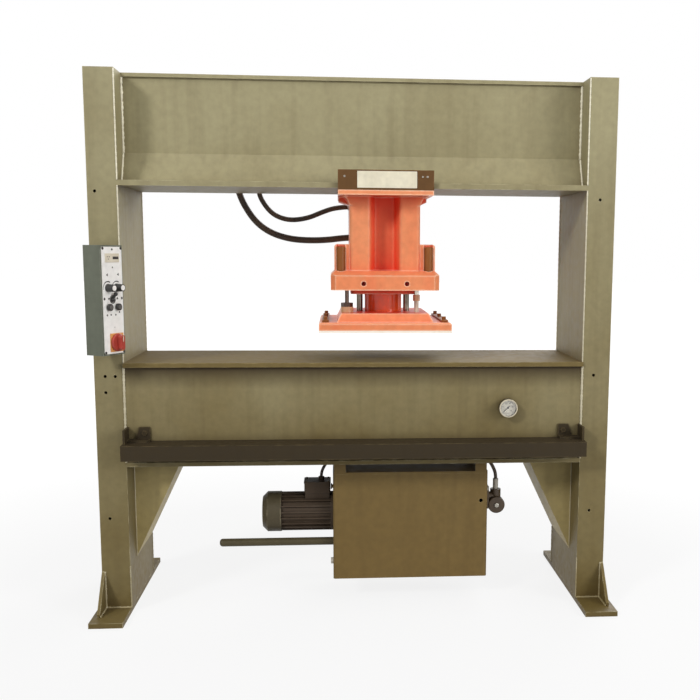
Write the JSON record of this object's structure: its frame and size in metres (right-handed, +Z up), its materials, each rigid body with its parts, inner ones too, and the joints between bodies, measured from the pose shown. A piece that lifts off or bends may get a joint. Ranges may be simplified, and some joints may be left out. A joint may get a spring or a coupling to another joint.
{
  "type": "leather cutting machine",
  "caption": "Travelling-head hydraulic cutting press: welded portal frame with a long bed, a press head on a roller trolley, oil tank, pump motor and turned control box.",
  "frame": {"origin": "on the floor, midway between the feet", "axes": "+X to the operator's right, +Y to the back, +Z up"},
  "size_m": [2.036, 0.81, 2.08],
  "materials": {
    "frame_paint": "olive green gloss paint on welded steel plate",
    "head_paint": "salmon orange gloss paint on cast iron",
    "ledge_paint": "near black paint, worn along the top",
    "trolley_steel": "dark brown oiled steel",
    "bright_steel": "turned steel",
    "chrome": "hard chrome on ground rods",
    "pad_plastic": "cream cutting pad",
    "hose_rubber": "dark hose rubber",
    "panel_paint": "white panel paint",
    "box_paint": "dark grey green paint with light scratches",
    "black_plastic": "moulded black plastic",
    "red_plastic": "red switch plastic",
    "yellow_plastic": "amber switch plate",
    "dial_white": "white dial",
    "gauge_glass": "clear glass",
    "motor_paint": "dark grey paint on cast aluminium",
    "cast_iron": "as cast",
    "sleeve_brown": "dark brown sleeve"
  },
  "bodies": {
    "frame": {"left_column": "frame_paint", "right_column": "frame_paint", "left_foot": "frame_paint", "right_foot": "frame_paint", "upper_beam": "frame_paint", "bed_frame": "frame_paint", "bed_flanges": "frame_paint", "bed_top": "frame_paint", "bed_knees": "frame_paint", "tool_ledge": "ledge_paint", "ledge_brackets": "ledge_paint", "gauge_case": "black_plastic", "gauge_dial": "dial_white", "gauge_glass": "gauge_glass", "control_box": "box_paint", "panel_bracket": "box_paint", "control_panel": "panel_paint", "counter": "black_plastic", "switch_plate": "yellow_plastic", "tank": "frame_paint", "tank_lid": "frame_paint", "drain_plug": "bright_steel", "motor_body": "motor_paint", "motor_cowl": "motor_paint", "terminal_box": "motor_paint", "pump": "cast_iron", "cooler_pipe": "frame_paint", "outlet_fitting": "cast_iron", "hose_ports": "bright_steel", "thick_hose": "hose_rubber", "thin_hose": "hose_rubber", "motor_cable": "hose_rubber", "outlet_hose": "hose_rubber"},
    "head": {"trolley_bars": "trolley_steel", "roller_axles": "bright_steel", "traverse_drive": "motor_paint", "head_body": "head_paint", "gland_flange": "head_paint", "side_sleeves": "sleeve_brown", "hose_unions": "bright_steel"},
    "press": {"press_plate": "head_paint", "press_pad": "pad_plastic", "pad_clips": "head_paint", "ram": "head_paint", "guide_rods": "chrome", "return_rod": "bright_steel", "limit_rod": "bright_steel"},
    "front_left_roller": {"roller_front_left": "bright_steel"},
    "front_right_roller": {"roller_front_right": "bright_steel"},
    "rear_left_roller": {"roller_rear_left": "bright_steel"},
    "rear_right_roller": {"roller_rear_right": "bright_steel"},
    "rotor": {"motor_rotor": "bright_steel", "motor_fan": "black_plastic"},
    "needle": {"gauge_needle": "black_plastic"},
    "left_knob": {"knob_left": "black_plastic"},
    "right_knob": {"knob_right": "black_plastic"},
    "left_button": {"button_left": "black_plastic"},
    "right_button": {"button_right": "black_plastic"},
    "stick": {"joystick": "black_plastic"},
    "switch": {"main_switch": "red_plastic"}
  },
  "joints": [
    {"name": "head_travel", "type": "slide", "parent": "frame", "child": "head", "axis": [1, 0, 0], "range_m": [-0.6, 0.47], "deforming": ["thick_hose", "thin_hose"]},
    {"name": "press_stroke", "type": "slide", "parent": "head", "child": "press", "axis": [0, 0, 1], "range_m": [-0.105, 0], "stiffness_N_per_m": 3000, "springref_m": 0.8},
    {"name": "front_left_roll", "type": "hinge", "parent": "head", "child": "front_left_roller", "pos_m": [-0.047, -0.211, 1.6973], "axis": [0, 1, 0], "continuous": true},
    {"name": "front_right_roll", "type": "hinge", "parent": "head", "child": "front_right_roller", "pos_m": [0.267, -0.211, 1.6973], "axis": [0, 1, 0], "continuous": true},
    {"name": "rear_left_roll", "type": "hinge", "parent": "head", "child": "rear_left_roller", "pos_m": [-0.047, 0.211, 1.6973], "axis": [0, 1, 0], "continuous": true},
    {"name": "rear_right_roll", "type": "hinge", "parent": "head", "child": "rear_right_roller", "pos_m": [0.267, 0.211, 1.6973], "axis": [0, 1, 0], "continuous": true},
    {"name": "motor_spin", "type": "hinge", "parent": "frame", "child": "rotor", "pos_m": [-0.2, -0.055, 0.354], "axis": [1, 0, 0], "continuous": true},
    {"name": "gauge_turn", "type": "hinge", "parent": "frame", "child": "needle", "pos_m": [0.591, -0.26, 0.811], "axis": [0, 1, 0], "range_deg": [0, 270], "stiffness_Nm_per_rad": 0.001},
    {"name": "left_knob_turn", "type": "hinge", "parent": "frame", "child": "left_knob", "pos_m": [-0.914, -0.34688, 1.27846], "axis": [0.866, -0.5, 0], "range_deg": [-135, 135]},
    {"name": "right_knob_turn", "type": "hinge", "parent": "frame", "child": "right_knob", "pos_m": [-0.8915, -0.30791, 1.27846], "axis": [0.866, -0.5, 0], "range_deg": [-135, 135]},
    {"name": "left_button_press", "type": "slide", "parent": "frame", "child": "left_button", "axis": [-0.866, 0.5, 0], "range_m": [0, 0.004], "stiffness_N_per_m": 400, "springref_m": -0.002},
    {"name": "right_button_press", "type": "slide", "parent": "frame", "child": "right_button", "axis": [-0.866, 0.5, 0], "range_m": [0, 0.004], "stiffness_N_per_m": 400, "springref_m": -0.002},
    {"name": "stick_swing", "type": "hinge", "parent": "frame", "child": "stick", "pos_m": [-0.90145, -0.32815, 1.23604], "axis": [-0.6634, 0.383, 0.6428], "range_deg": [-20, 20], "stiffness_Nm_per_rad": 0.3},
    {"name": "main_switch_turn", "type": "hinge", "parent": "frame", "child": "switch", "pos_m": [-0.896, -0.3157, 1.07686], "axis": [-0.866, 0.5, 0], "range_deg": [0, 90]}
  ],
  "couplings": [
    {"joint": "front_left_roll", "follows": "head_travel", "rad_per_m": 45.455},
    {"joint": "front_right_roll", "follows": "head_travel", "rad_per_m": 45.455},
    {"joint": "rear_left_roll", "follows": "head_travel", "rad_per_m": 45.455},
    {"joint": "rear_right_roll", "follows": "head_travel", "rad_per_m": 45.455}
  ]
}
